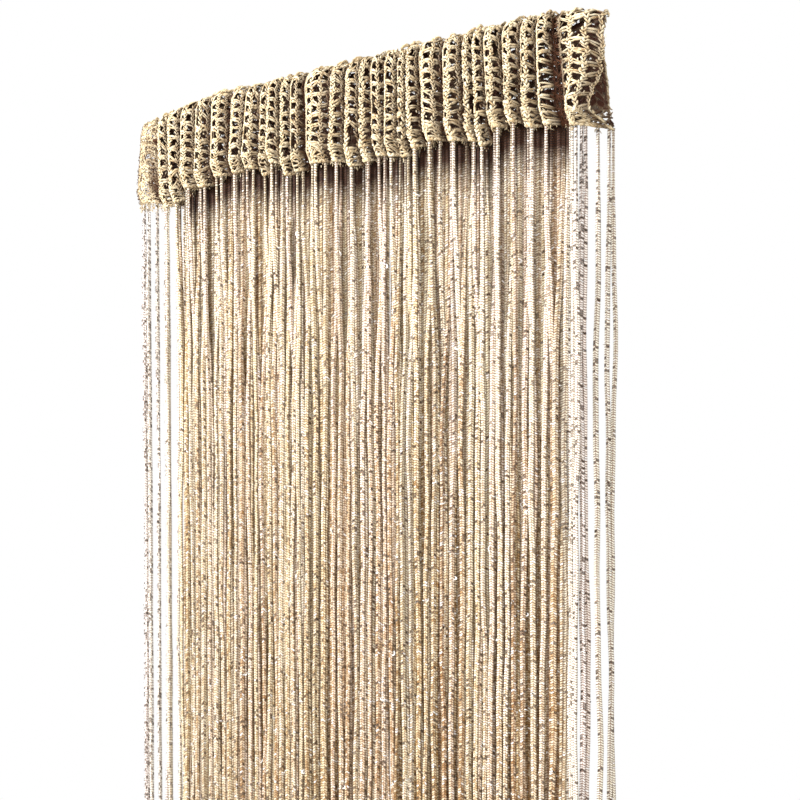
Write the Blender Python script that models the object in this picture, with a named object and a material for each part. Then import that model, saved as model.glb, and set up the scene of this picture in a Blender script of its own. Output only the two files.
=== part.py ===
"""String curtain with a gathered net heading.

Two pieces, as a maker would knit and sew them:
  heading        one knitted net band, folded over to a rod pocket that is open at both ends and
                 closed along its foot, gathered into uneven upright folds
  string_fringe  a narrow knitted strip along the foot of the heading, with one long flat string
                 hanging from each chain of the net

Metres, +Z up. The rod line runs along X, the front faces -Y, and the origin is at the middle of
the heading's top edge, where the curtain hangs.
"""

import math
import typing

import bmesh
import bpy

MM = 0.001

# Driving dimensions
CURTAIN_WIDTH = 560 * MM        # as gathered
CURTAIN_DROP = 2000 * MM        # from the top edge to the string ends
HEADING_HEIGHT = 88 * MM
NET_THICKNESS = 1.6 * MM
STRING_COUNT = 118
STRING_WIDTH = 3.8 * MM
STRING_THICKNESS = 1.8 * MM
STRIP_HEIGHT = 5.0 * MM
PIECE_GAP = 0.45 * MM           # between the heading's foot and the strip


class Fold(typing.NamedTuple):
    """One upright fold of the heading, in mm."""

    top: float      # width at the top edge
    foot: float     # width at the foot
    depth: float    # how far it stands out
    drop: float     # how much lower than HEADING_HEIGHT its foot hangs


# One row for each fold, from the curtain's left end to its right end: top, foot, depth, drop
FOLDS = tuple(Fold(*row) for row in (
    (29, 46, 8, 9),
    (17, 28, 10, 17),
    (27, 16, 15, 15),
    (27, 22, 17, 2),
    (21, 24, 17, 4),
    (30, 25, 16, -4),
    (27, 20, 13, -5),
    (20, 25, 16, -7),
    (12, 12, 12, 2),
    (14, 19, 16, -8),
    (15, 13, 13, 5),
    (14, 14, 13, 3),
    (39, 35, 14, -2),
    (18, 17, 16, 0),
    (17, 18, 14, 6),
    (13, 16, 14, 4),
    (16, 15, 14, 1),
    (16, 13, 14, 3),
    (9, 10, 12, 5),
    (11, 16, 14, -1),
    (27, 22, 16, -4),
    (21, 21, 16, -1),
    (10, 12, 13, 1),
    (10, 10, 13, 6),
    (18, 16, 15, -6),
    (19, 14, 15, -8),
    (13, 18, 15, -2),
    (11, 9, 13, -2),
    (41, 28, 10, 0),
))
FOLD_ROUNDNESS = 0.7            # below 1 the folds are round rolls with narrow valleys
VALLEY_SOFTNESS = 0.15          # how much the bottom of a valley is rounded off


class Line(typing.NamedTuple):
    """One line of the pocket's cross-section, which runs the whole length of the net."""

    height: float   # share of the heading's height, 0 at the top and 1 at the foot
    depth: float    # place along Y of a valley, in mm
    ripple: float   # share of a fold's depth that the line takes
    out: int        # -1 where the folds stand out to the front, 1 where they do to the back


SEAM_LINE = Line(1.00, -10.0, 1.00, -1)
SHOULDER_LINE = Line(0.035, -5.0, 0.45, -1)
TOP_LINE = Line(0.00, 0.0, 0.00, 1)
BACK_LINES = (
    Line(0.06, 6.0, 0.35, 1),
    Line(0.35, 9.5, 0.60, 1),
    Line(0.80, 12.0, 0.50, 1),
)
FRONT_HEIGHTS = (0.15, 0.87)    # highest and lowest edge of the rows of holes
FRONT_DEPTHS = (-8.0, -14.0)    # mm, there
FRONT_RIPPLES = (0.65, 1.00)
HOLE_ROWS = 4                   # every other row of the net
HOLE_SHARE = 0.56               # of the height of a row and its bar

CELL_LENGTH = 19 * MM           # along the net: two of its chains
CELL_LINES = (0.0, 0.30, 0.70)  # a hole lies between the last two, as a share of the cell

TOP_RUFFLE = 4.5 * MM           # how much lower the top edge is in a valley
END_DROOP = 6.0 * MM            # how much lower it is at both ends
END_DROOP_LENGTH = 22 * MM
END_TURN_LENGTH = 26 * MM       # net along which the foot turns to the back at the right end
END_TURN_DEPTH = 17 * MM

STRING_LEVELS = (110 * MM, 230 * MM, 370 * MM)  # below the top edge, where a string bends
SPREAD_END = STRING_LEVELS[-1]  # lower than this the strings hang straight down
SPREAD_NEIGHBOURS = 3           # a string ends up midway between this many on each side of it
ROW_DEPTH = -15 * MM            # middle of the hanging strings
ROW_STAGGER = 3.6 * MM          # every other string hangs this much before or behind it
KEPT_AT_END = 4                 # strings at the right end that hang straight from the strip
END_UNEVEN = 5 * MM             # the string ends differ by up to this
END_RHYTHM = 7.3                # radians from one string to the next, so that the ends look uneven

SAMPLES_PER_FOLD = 40


def smooth(value):
    """Ease from 0 to 1."""
    value = min(1.0, max(0.0, value))
    return value * value * (3 - 2 * value)


def fold_shape(share):
    """Height of one roll across its width, 0 in the valleys and 1 on the ridge."""
    power = FOLD_ROUNDNESS / 2
    soft = VALLEY_SOFTNESS ** 2
    low = soft ** power
    high = (1 + soft) ** power
    return ((math.sin(math.pi * share) ** 2 + soft) ** power - low) / (high - low)


def fold_lines():
    """X of each valley at the top and at the foot, scaled so that both rows span the width."""
    lines = {}
    for name in ("top", "foot"):
        widths = [getattr(fold, name) for fold in FOLDS]
        places = [-CURTAIN_WIDTH / 2]
        for width in widths:
            places.append(places[-1] + width / sum(widths) * CURTAIN_WIDTH)
        lines[name] = places
    return lines


VALLEYS = fold_lines()


def fold_at(phase):
    """Fold number and the share of its width for a phase counted in folds."""
    index = min(int(phase), len(FOLDS) - 1)
    return index, phase - index


def across(phase, height):
    """X at a phase, for a height share of 0 at the top and 1 at the foot."""
    index, share = fold_at(phase)
    places = []
    for valleys in (VALLEYS["top"], VALLEYS["foot"]):
        places.append(valleys[index] + share * (valleys[index + 1] - valleys[index]))
    top, foot = places
    return top + (foot - top) * height


def drop_at(phase):
    """How much lower the foot hangs, eased from the middle of one fold to the middle of the next."""
    place = min(max(phase - 0.5, 0.0), len(FOLDS) - 1.0)
    index = min(int(place), len(FOLDS) - 2)
    first = FOLDS[index].drop * MM
    second = FOLDS[index + 1].drop * MM
    return first + (second - first) * smooth(place - index)


def stand_out(phase):
    """How far the net stands out of the pocket's plain section."""
    index, share = fold_at(phase)
    return FOLDS[index].depth * MM * fold_shape(share)


def measure_net():
    """Phases in small steps and the length of net up to each, along the middle of the front."""
    phases = [0.0]
    lengths = [0.0]
    last = (across(0, 0.5), 0.0)
    for step in range(1, len(FOLDS) * SAMPLES_PER_FOLD + 1):
        phase = step / SAMPLES_PER_FOLD
        place = (across(phase, 0.5), stand_out(phase))
        phases.append(phase)
        lengths.append(lengths[-1] + math.dist(last, place))
        last = place
    return phases, lengths


PHASES, LENGTHS = measure_net()
NET_LENGTH = LENGTHS[-1]


def phase_of(length):
    """Phase at a length of net from the left end."""
    length = min(max(length, 0.0), NET_LENGTH)
    low = 0
    high = len(LENGTHS) - 1
    while high - low > 1:
        middle = (low + high) // 2
        if LENGTHS[middle] <= length:
            low = middle
        else:
            high = middle
    share = (length - LENGTHS[low]) / (LENGTHS[high] - LENGTHS[low])
    return PHASES[low] + share * (PHASES[high] - PHASES[low])


def end_turn(length):
    """1 where the foot has turned to the back at the right end, 0 away from it."""
    return smooth((length - NET_LENGTH + END_TURN_LENGTH) / END_TURN_LENGTH)


def top_edge(phase):
    """Z of the top edge: ruffled by the folds and drooping at both ends."""
    share = fold_at(phase)[1]
    to_end = CURTAIN_WIDTH / 2 - abs(across(phase, 0))
    droop = END_DROOP * (1 - smooth(to_end / END_DROOP_LENGTH))
    return TOP_RUFFLE * (fold_shape(share) - 1) - droop


def net_point(length, line):
    """Place of the net's outer face at a length of net, on one line of the section."""
    phase = phase_of(length)
    x = across(phase, line.height)
    y = line.depth * MM + line.out * line.ripple * stand_out(phase)
    if line is SEAM_LINE:
        turn = end_turn(length)
        y += (END_TURN_DEPTH - y) * turn
    top = top_edge(phase) * (1 - line.height)
    z = top - line.height * (HEADING_HEIGHT + drop_at(phase))
    return x, y, z


def front_lines():
    """The lines that bound the rows of holes, from the lowest hole up."""
    first, last = FRONT_HEIGHTS
    pitch = (last - first) / (HOLE_ROWS - 1 + HOLE_SHARE)
    lines = []
    for row in range(HOLE_ROWS):
        low = last - row * pitch
        for height in (low, low - HOLE_SHARE * pitch):
            share = (height - first) / (last - first)
            depth = FRONT_DEPTHS[0] + share * (FRONT_DEPTHS[1] - FRONT_DEPTHS[0])
            ripple = FRONT_RIPPLES[0] + share * (FRONT_RIPPLES[1] - FRONT_RIPPLES[0])
            lines.append(Line(height, depth, ripple, -1))
    return lines


def net_columns():
    """Lengths of net at which the solid has a column, and which column starts a hole."""
    places = []
    holes = set()
    start = 0.0
    for fold in range(len(FOLDS)):
        end = LENGTHS[(fold + 1) * SAMPLES_PER_FOLD]
        cells = max(1, round((end - start) / CELL_LENGTH))
        for cell in range(cells):
            for share in CELL_LINES:
                if share == CELL_LINES[1]:
                    holes.add(len(places))
                places.append(start + (cell + share) * (end - start) / cells)
        start = end
    places.append(NET_LENGTH)
    return places, holes


def knitted_material(name, colour, roughness):
    """Matte polyester yarn with a little gloss."""
    material = bpy.data.materials.new(name)
    material.use_nodes = True
    shader = material.node_tree.nodes["Principled BSDF"]
    shader.inputs["Base Color"].default_value = (*colour, 1)
    shader.inputs["Roughness"].default_value = roughness
    shader.inputs["Metallic"].default_value = 0
    return material


def add_object(name, shape, material):
    mesh = bpy.data.meshes.new(name)
    shape.to_mesh(mesh)
    shape.free()
    mesh.materials.append(material)
    thing = bpy.data.objects.new(name, mesh)
    bpy.context.scene.collection.objects.link(thing)
    return thing


def make_heading():
    """The net band: a grid bent round the pocket's section and along the folds, with its holes."""
    section = [SEAM_LINE, *front_lines(), SHOULDER_LINE, TOP_LINE, *BACK_LINES, SEAM_LINE]
    places, hole_columns = net_columns()
    columns = len(places) - 1
    rows = len(section) - 1
    hole_lines = range(1, 2 * HOLE_ROWS, 2)

    shape = bmesh.new()
    bmesh.ops.create_grid(shape, x_segments=columns, y_segments=rows, size=0.5)

    def column_of(x):
        return (x + 0.5) * columns

    def row_of(y):
        return (y + 0.5) * rows

    gaps = []
    for face in shape.faces:
        middle = face.calc_center_median()
        column = int(column_of(middle.x))
        row = int(row_of(middle.y))
        if column in hole_columns and row in hole_lines:
            gaps.append(face)
    for vert in shape.verts:
        column = round(column_of(vert.co.x))
        row = round(row_of(vert.co.y))
        vert.co = net_point(places[column], section[row])
    bmesh.ops.delete(shape, geom=gaps, context="FACES")
    bmesh.ops.remove_doubles(shape, verts=shape.verts, dist=0.01 * MM)

    heading = add_object("heading", shape, knitted_material("net_yarn", (0.58, 0.46, 0.29), 0.75))
    wall = heading.modifiers.new("wall", "SOLIDIFY")
    wall.thickness = NET_THICKNESS
    wall.offset = -1
    return heading


def strip_columns():
    """Lengths of net at both edges of each string, with the strip's two ends."""
    pitch = NET_LENGTH / STRING_COUNT
    places = [0.0]
    for number in range(STRING_COUNT):
        middle = (number + 0.5) * pitch
        places += [middle - STRING_WIDTH / 2, middle + STRING_WIDTH / 2]
    places.append(NET_LENGTH)
    return places


def hanging_places(roots):
    """Where each string hangs once it is clear of the folds: evened out, in two loose rows."""
    places = []
    last = len(roots) - 1
    for number, (x, y) in enumerate(roots):
        reach = min(SPREAD_NEIGHBOURS, number, last - number)
        near = roots[number - reach:number + reach + 1]
        middle = sum(place[0] for place in near) / len(near)
        if last - number < KEPT_AT_END:
            places.append((x, y))
        elif number % 2:
            places.append((middle, ROW_DEPTH + ROW_STAGGER))
        else:
            places.append((middle, ROW_DEPTH - ROW_STAGGER))
    return places


def make_fringe():
    """The strip under the heading's foot, with each string drawn down out of its own face."""
    places = strip_columns()
    feet = [net_point(length, SEAM_LINE) for length in places]
    normals = []
    for index in range(len(feet)):
        before = feet[max(index - 1, 0)]
        after = feet[min(index + 1, len(feet) - 1)]
        along = math.dist(before[:2], after[:2])
        normals.append(((after[1] - before[1]) / along, (before[0] - after[0]) / along))

    columns = len(places) - 1
    # Each corner of the strip's section: side is 1 at the front and -1 at the back, then its level.
    corners = ((1, -STRIP_HEIGHT), (1, 0), (-1, 0), (-1, -STRIP_HEIGHT), (1, -STRIP_HEIGHT))
    rows = len(corners) - 1
    shape = bmesh.new()
    bmesh.ops.create_grid(shape, x_segments=columns, y_segments=rows, size=0.5)
    roots = {}
    for face in shape.faces:
        middle = face.calc_center_median()
        column = int((middle.x + 0.5) * columns)
        row = int((middle.y + 0.5) * rows)
        if row == rows - 1 and column % 2 == 1:
            roots[column // 2] = face
    for vert in shape.verts:
        column = round((vert.co.x + 0.5) * columns)
        side, level = corners[round((vert.co.y + 0.5) * rows)]
        x, y, z = feet[column]
        normal = normals[column]
        half = side * STRING_THICKNESS / 2
        vert.co = (x + half * normal[0], y + half * normal[1], z - PIECE_GAP + level)
    bmesh.ops.remove_doubles(shape, verts=shape.verts, dist=0.01 * MM)
    bmesh.ops.holes_fill(shape, edges=[edge for edge in shape.edges if edge.is_boundary])
    bmesh.ops.recalc_face_normals(shape, faces=shape.faces)

    middles = []
    for number in range(STRING_COUNT):
        first, second = feet[2 * number + 1:2 * number + 3]
        middles.append(((first[0] + second[0]) / 2, (first[1] + second[1]) / 2))
    hanging = hanging_places(middles)
    for number, face in sorted(roots.items()):
        tips = [vert.co.copy() for vert in face.verts]
        end = -CURTAIN_DROP + END_UNEVEN * (0.5 + 0.5 * math.sin(END_RHYTHM * number))
        for level in (*(-level for level in STRING_LEVELS), end):
            drawn = bmesh.ops.extrude_discrete_faces(shape, faces=[face])
            face = drawn["faces"][0]
            share = smooth((-level - HEADING_HEIGHT) / (SPREAD_END - HEADING_HEIGHT))
            for vert, tip in zip(face.verts, tips):
                vert.co.x = tip.x + share * (hanging[number][0] - middles[number][0])
                vert.co.y = tip.y + share * (hanging[number][1] - middles[number][1])
                vert.co.z = level
    return add_object("string_fringe", shape, knitted_material("string_yarn", (0.63, 0.51, 0.34), 0.6))


def main():
    for thing in list(bpy.data.objects):
        bpy.data.objects.remove(thing)
    make_heading()
    make_fringe()


main()
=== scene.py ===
"""Looks of a string curtain with a gathered net heading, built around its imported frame.

The net heading is knitted here stitch by stitch on the folds of its solid, and each string of the
fringe becomes a knitted tape with silver metallic thread. Metres, +Z up, the front faces -Y, and
the origin is at the middle of the heading's top edge.
"""

import math
from functools import partial

import bmesh
import bpy
import numpy as np
from mathutils import Matrix


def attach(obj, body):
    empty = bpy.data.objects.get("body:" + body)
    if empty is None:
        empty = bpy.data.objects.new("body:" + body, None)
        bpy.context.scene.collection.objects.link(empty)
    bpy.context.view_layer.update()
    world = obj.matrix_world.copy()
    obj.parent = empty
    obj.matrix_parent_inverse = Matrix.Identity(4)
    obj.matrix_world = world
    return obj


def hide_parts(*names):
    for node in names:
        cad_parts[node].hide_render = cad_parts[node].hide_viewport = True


bl_info = {
    "name": "String Curtain Looks",
    "version": (1, 0, 0),
    "blender": (4, 5, 0),
    "location": "3D View > Sidebar > String Curtain",
    "description": "Knitted net heading, knitted strings with metallic thread, and the studio",
    "category": "Object",
}

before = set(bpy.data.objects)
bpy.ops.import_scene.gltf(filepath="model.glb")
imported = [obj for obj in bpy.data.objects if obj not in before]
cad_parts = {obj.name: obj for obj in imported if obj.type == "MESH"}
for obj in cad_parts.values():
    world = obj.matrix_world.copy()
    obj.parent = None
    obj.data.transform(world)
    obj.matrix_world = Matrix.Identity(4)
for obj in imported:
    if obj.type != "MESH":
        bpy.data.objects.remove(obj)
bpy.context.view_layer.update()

MM = 0.001

# The folds of the heading from the left end, as in its solid, in mm:
# width at the top, width at the foot, depth, and how much lower the foot hangs
FOLDS = np.array((
    (29, 46, 8, 9), (17, 28, 10, 17), (27, 16, 15, 15), (27, 22, 17, 2), (21, 24, 17, 4),
    (30, 25, 16, -4), (27, 20, 13, -5), (20, 25, 16, -7), (12, 12, 12, 2), (14, 19, 16, -8),
    (15, 13, 13, 5), (14, 14, 13, 3), (39, 35, 14, -2), (18, 17, 16, 0), (17, 18, 14, 6),
    (13, 16, 14, 4), (16, 15, 14, 1), (16, 13, 14, 3), (9, 10, 12, 5), (11, 16, 14, -1),
    (27, 22, 16, -4), (21, 21, 16, -1), (10, 12, 13, 1), (10, 10, 13, 6), (18, 16, 15, -6),
    (19, 14, 15, -8), (13, 18, 15, -2), (14, 17, 13, -2), (38, 20, 10, 0),
), float)
TOP_WIDTH, FOOT_WIDTH, DEPTH, DROP = FOLDS.T
FOLD_ROUNDNESS = 0.7  # below 1 the folds are round rolls with narrow valleys
VALLEY_SOFTNESS = 0.15
PINCH = 0.20  # how much narrower the rolls are at the foot, where the valleys open
OPEN_FOLD = 27  # the fold with the widest valley beside it
OPEN_PINCH = 0.5
SAMPLES_PER_FOLD = 40

CURTAIN_WIDTH = 560 * MM
CURTAIN_DROP = 2000 * MM
HEADING_HEIGHT = 88 * MM
STRING_COUNT = 118  # one for each chain of the net
TOP_RUFFLE = 4.5 * MM
LEFT_DROOP = 11 * MM
LEFT_DROOP_LENGTH = 115 * MM
RIGHT_DROOP = 2.5 * MM
RIGHT_DROOP_LENGTH = 60 * MM
RIGHT_SLACK = 15.5 * MM  # how far the pocket's front leans on its back at its right end
RIGHT_SLACK_TURNS = (0.12, 0.54, 0.8, 1.3)
RIGHT_CLOSING = 5 * MM  # how far the back comes forward to it there
RIGHT_CLOSING_TURNS = (0.98, 1.10, 1.3, 1.75)
RIGHT_SLACK_LENGTH = 36 * MM
END_TURN_LENGTH = 26 * MM
END_TURN_DEPTH = 17 * MM

# The pocket's section: turn is 0 at the front foot, 1 at the top and 2 at the back foot, depth is
# the Y of a valley in mm, and ripple is the share of a fold's depth, negative towards the front
SECTION = np.array((
    (0.00, -10.0, -1.00),
    (0.13, -14.0, -1.00),
    (0.85, -8.0, -0.65),
    (0.965, -5.0, -0.45),
    (1.00, 0.0, 0.00),
    (1.06, 6.0, 0.35),
    (1.35, 9.5, 0.60),
    (1.80, 12.0, 0.50),
    (2.00, -10.0, -1.00),
))
SECTION_STEPS = 400  # samples round the section
SECTION_EASE = 9  # samples over which its corners are rounded
FRONT_SEAM_TURN = SECTION[1, 0]
BACK_SEAM_TURN = SECTION[-2, 0]


def smooth(value):
    """Ease from 0 to 1."""
    value = np.clip(value, 0.0, 1.0)
    return value * value * (3 - 2 * value)


def hump(value, places):
    """Ease from 0 to 1 between the first two places, and back between the last two."""
    first, full, last, end = places
    return smooth((value - first) / (full - first)) * (1 - smooth((value - last) / (end - last)))


def stacked(*parts):
    """Numbers and arrays as the last axis of one array."""
    return np.stack(np.broadcast_arrays(*parts), axis=-1)


def turned(angle, first, second):
    """Two directions at right angles, turned from the first towards the second."""
    cosine, sine = np.cos(angle), np.sin(angle)
    return first * cosine - second * sine, first * sine + second * cosine


def fold_shape(share):
    """Height of one roll across its width, 0 in the valleys and 1 on the ridge."""
    power = FOLD_ROUNDNESS / 2
    soft = VALLEY_SOFTNESS ** 2
    low = soft ** power
    high = (1 + soft) ** power
    return ((np.sin(math.pi * share) ** 2 + soft) ** power - low) / (high - low)


def valleys(widths):
    """X of each valley, scaled so that the row of folds spans the curtain."""
    return CURTAIN_WIDTH * (np.concatenate(([0.0], np.cumsum(widths))) / widths.sum() - 0.5)


FOLD_NUMBERS = np.arange(len(FOLDS) + 1)
TOP_VALLEYS = valleys(TOP_WIDTH)
FOOT_VALLEYS = valleys(FOOT_WIDTH)


def across(phase, height):
    """X at a phase counted in folds, for a height share of 0 at the top and 1 at the foot."""
    top = np.interp(phase, FOLD_NUMBERS, TOP_VALLEYS)
    foot = np.interp(phase, FOLD_NUMBERS, FOOT_VALLEYS)
    return top + (foot - top) * height


def fold_at(phase):
    """Fold number and the share of its width at a phase."""
    index = np.minimum(phase.astype(int), len(FOLDS) - 1)
    return index, phase - index


def roll(phase, height):
    """Height of the roll at a phase, for a height share of 0 at the top and 1 at the foot.

    The rolls are narrower towards the foot, so the valleys between them open there.
    """
    index, share = fold_at(phase)
    share = np.where(index == OPEN_FOLD, share * (1 + OPEN_PINCH * smooth(1.6 * height)), share)
    pinched = 0.5 + (share - 0.5) * (1 + PINCH * smooth(1.2 * height))
    return fold_shape(np.clip(pinched, 0.0, 1.0))


def stand_out(phase, height):
    """How far the net stands out of the pocket's plain section."""
    return DEPTH[fold_at(phase)[0]] * MM * roll(phase, height)


def drop_at(phase):
    """How much lower the foot hangs, eased from the middle of one fold to the next."""
    place = np.clip(phase - 0.5, 0.0, len(FOLDS) - 1.0)
    index = np.minimum(place.astype(int), len(FOLDS) - 2)
    first = DROP[index] * MM
    second = DROP[index + 1] * MM
    return first + (second - first) * smooth(place - index)


def top_edge(phase):
    """Z of the top edge: ruffled by the folds and drooping at both ends."""
    share = fold_at(phase)[1]
    x = across(phase, 0.0)
    left = LEFT_DROOP * (1 - smooth((CURTAIN_WIDTH / 2 + x) / LEFT_DROOP_LENGTH))
    right = RIGHT_DROOP * (1 - smooth((CURTAIN_WIDTH / 2 - x) / RIGHT_DROOP_LENGTH))
    dip = TOP_RUFFLE * (fold_shape(share) - 1) * np.where(phase < 0.5, 0.0, 1.0)
    return dip - left - right


def measure_net():
    """Phases in small steps and the length of net up to each, along the middle of the front."""
    phases = np.arange(len(FOLDS) * SAMPLES_PER_FOLD + 1) / SAMPLES_PER_FOLD
    steps = np.hypot(np.diff(across(phases, 0.5)), np.diff(stand_out(phases, 0.0)))
    return phases, np.concatenate(([0.0], np.cumsum(steps)))


PHASES, LENGTHS = measure_net()
NET_LENGTH = LENGTHS[-1]
CHAIN_PITCH = NET_LENGTH / STRING_COUNT
CHAIN_LENGTHS = (np.arange(STRING_COUNT) + 0.5) * CHAIN_PITCH


def phase_at(length):
    """Phase at a length along the net."""
    return np.interp(length, LENGTHS, PHASES)


def round_section():
    """The section's depth and ripple at even turns, with its corners rounded off."""
    turns = np.linspace(0.0, 2.0, SECTION_STEPS, endpoint=False)
    window = np.ones(SECTION_EASE) / SECTION_EASE
    curves = []
    for column in (1, 2):
        line = np.interp(turns, SECTION[:, 0], SECTION[:, column])
        wrapped = np.concatenate((line[-SECTION_EASE:], line, line[:SECTION_EASE]))
        curves.append(np.convolve(wrapped, window, "same")[SECTION_EASE:-SECTION_EASE])
    return turns, curves[0] * MM, curves[1]


SECTION_TURNS, SECTION_DEPTH, SECTION_RIPPLE = round_section()


def net_point(length, turn):
    """Points of the net's outer face at lengths along the net and turns round the pocket."""
    phase = phase_at(length)
    height = np.abs(1 - turn)
    depth = np.interp(turn, SECTION_TURNS, SECTION_DEPTH, period=2.0)
    ripple = np.interp(turn, SECTION_TURNS, SECTION_RIPPLE, period=2.0)
    slack = 1 - smooth((NET_LENGTH - length) / RIGHT_SLACK_LENGTH)
    leaning = RIGHT_SLACK * hump(turn, RIGHT_SLACK_TURNS)
    closing = RIGHT_CLOSING * hump(turn, RIGHT_CLOSING_TURNS)
    y = depth + ripple * stand_out(phase, height) + slack * (leaning - closing)
    at_seam = np.where(
        turn < 1, 1 - turn / FRONT_SEAM_TURN, (turn - BACK_SEAM_TURN) / (2 - BACK_SEAM_TURN))
    end_turn = smooth((length - NET_LENGTH + END_TURN_LENGTH) / END_TURN_LENGTH)
    seam_y = SECTION[0, 1] * MM - stand_out(phase, 1.0)
    y = y + (END_TURN_DEPTH - seam_y) * end_turn * np.clip(at_seam, 0.0, 1.0)
    z = top_edge(phase) * (1 - height) - height * (HEADING_HEIGHT + drop_at(phase))
    return stacked(across(phase, height), y, z)


# The knit of the net
NET_ROWS = 20  # rows of bars round the pocket
ROWS_AT_LEFT = 8.3  # of them on the front at the left end
ROWS_AT_RIGHT = 10.4  # and at the right end, where the net is less stretched
STITCHES_PER_ROW = 3
BACK_STITCHES_PER_ROW = 2
BORDER_ROWS = 1.5  # height of the close-knitted border at the foot
BORDER_BARS = 6  # courses of loops in the border
LEFT_END = 48 * MM  # length of net that is knitted close at the left end
RIGHT_END = 36 * MM  # and at the right end of the back
# Chains where the bars fan out, how far the fans reach, and how much the bars slope in rows
FANS = CHAIN_LENGTHS[[8, 70, 91, 103, 115]]
FAN_WIDTH = 10 * MM
FAN_SLOPE = 0.30
# Slow waves of the knit, so that no row or chain is straight: size, then radians for each metre
# along the net, for each row and at the start
ROW_WAVES = ((0.16, 41, 0.9, 0.0), (0.13, 97, -0.5, 1.3), (0.10, 223, 1.7, 0.4))  # in rows
CHAIN_WAVES = ((0.9 * MM, 61, 5.1, 0.0), (0.6 * MM, -173, 2.3, 0.0))
NUDGE = 0.5 * MM  # along the net, for the direction that a wall faces
TURN_NUDGE = 0.012
WALLS = {"net_front": False, "net_back": True}  # name and whether it is the back wall
# Half size of a chain's lobes, their slant from upright and their place in the chain
LOBE_SHARE = (0.78, 0.12)  # of a stitch, the least and how much more
LOBE_HEIGHT = 0.80 * MM
LOBE_THICKNESS = 0.95 * MM
LOBE_SLANT = (26, 10)  # degrees, the least and how much more
LOBE_ASIDE = 0.78 * MM
LOBE_OUT = 0.35 * MM
# Half length of a bar as a share of the pitch, and half height of its strands as a share of it
BAR_REACH = 0.56
BACK_BAR_REACH = 0.64
LEFT_BAR_REACH = 0.76
LEFT_BAR_FULLNESS = 1.4
STRAND_HEIGHT = 0.29
BACK_STRAND_HEIGHT = 0.35
STRAND_THICKNESS = 0.95 * MM
STRANDS_APART = 0.24  # up and down, as a share of the bar
STRAND_OUT = 0.15 * MM
BAR_SLOPE = 0.11  # in rows
STRAND_SLOPE = 0.10
FILLED_SHARE = 0.9  # of the rows between the rows, at the close-knitted ends
FILLED_FADE = 6 * MM
MISSED_SHARE = 0.03  # of the bars of the front
# Half length, half height and half thickness of the border's loops, the cord along the foot, the
# knots of the strings and the loops along the top
BORDER_LOOP = (0.40 * CHAIN_PITCH, 0.95 * MM, 1.0 * MM)
CORD_STRAND = (2.3 * MM, 1.0 * MM, 1.1 * MM)
KNOT = (1.7 * MM, 2.1 * MM, 1.6 * MM)
TOP_LOOP = (2.0 * MM, 1.8 * MM, 2.2 * MM)
BORDER_LEAN = 0.5
BORDER_SHIFT = 0.08  # in rows
BORDER_OUT = 0.3 * MM
CORD_PITCH = 2.6 * MM
CORD_LEAN = math.radians(32)
CORD_ROW = 0.10
CORD_OUT = 0.2 * MM
KNOT_ROW = 0.12
KNOT_OUT = 0.3 * MM
TOP_LOOP_LEAN = math.radians(60)

# Loose yarn
TANGLE_LENGTH = 52 * MM  # of net at the left end that is covered in a tangle of yarn ends
TANGLE_FADE = 95 * MM  # where the last of them are, near the foot
TANGLE_BITS = 2300
# Number of the gap between chains and row of each place in the tangle painted dark, as shade in a
# hole
TANGLE_HOLES = np.array((
    (1, 7), (1, 6), (1, 5), (1, 4), (3, 7), (4, 6), (5, 7), (5, 5), (6, 6), (6, 3), (2, 2),
))
HOLE_REACH = 2.6 * MM  # round a place painted dark, free of loose yarn
HOLE_BAR_REACH = 1 * MM  # and where the bars get painted shade
TANGLE_SHADE = 0.85  # of its darkest bits
LOOSE_BITS = 1500  # on the rest of the front
LOOSE_OUT = (-0.3, 1.5)  # off the wall, in mm
LOOSE_LEAN = 1.4
TUFTS = 700  # ends of yarn under the foot
TUFTS_AT_LEFT = 220
TUFT_LENGTH = 2.5 * MM
TUFT_LENGTH_AT_LEFT = 8 * MM
TUFT_SPREAD = 0.9 * MM
TUFT_TURNS = np.array((3.1, 1.0, 1.2))  # about its own length, tilted and about the upright
LOOPS_PER_CHAIN = 5  # that stand up along the top edge
# Half length, half height and half thickness of copies: the least in mm, how much more, and the
# power of the random share, above 1 where most are small
LOOSE_SIZE = ((0.9, 1.2, 1), (0.32, 0.28, 1), (0.32, 0.28, 1))
TUFT_SIZE = ((0.9, 1.2, 1), (0.28, 0.22, 1), (0.28, 0.22, 1))
FILM_SIZE = ((0.45, 0.6, 1), (0.35, 0.40, 1), (0.30, 0.25, 1))
FILM_LOOP_SIZE = ((1.1, 1.1, 1), (0.9, 0.4, 1), (1.3, 1.9, 2))

# Shade of the net where the folds close
VALLEY_SHADE = 1.1
FIRST_FOLD_SHADE = 0.6
TURNED_SHADE = 0.14  # of the right side of a fold, which is turned away from the light
OPEN_FOLD_SHADE = 0.6
BACK_SHADE = 0.5  # of all this, on the back
# Painted shade at the left end, of a crease that runs down and to the right
CREASE_SHADE = 0.42
CREASE_LENGTH = 37 * MM
CREASE_SLOPE = 2.2 * MM
CREASE_WIDTH = 6 * MM
# Painted shade: the yarn is darkened where it lies deeper than this, inside the pocket
HOLLOW_DEPTH = 1.2 * MM
TUCKED_SHADE = 0.45  # of the ends of a bar or lobe, which lie under their neighbours


def rows_in_front(length):
    """Rows of the net between the foot and the top edge on the front."""
    return ROWS_AT_LEFT + (ROWS_AT_RIGHT - ROWS_AT_LEFT) * length / NET_LENGTH


def in_tangle_hole(length, row, reach):
    """Whether places are within a reach of the left end's places painted dark."""
    aside = (length[:, None] - TANGLE_HOLES[:, 0] * CHAIN_PITCH) / reach
    above = (row[:, None] - TANGLE_HOLES[:, 1]) * row_height(length, row)[:, None] / reach
    return (np.hypot(aside, above) < 1).any(axis=1)


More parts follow.
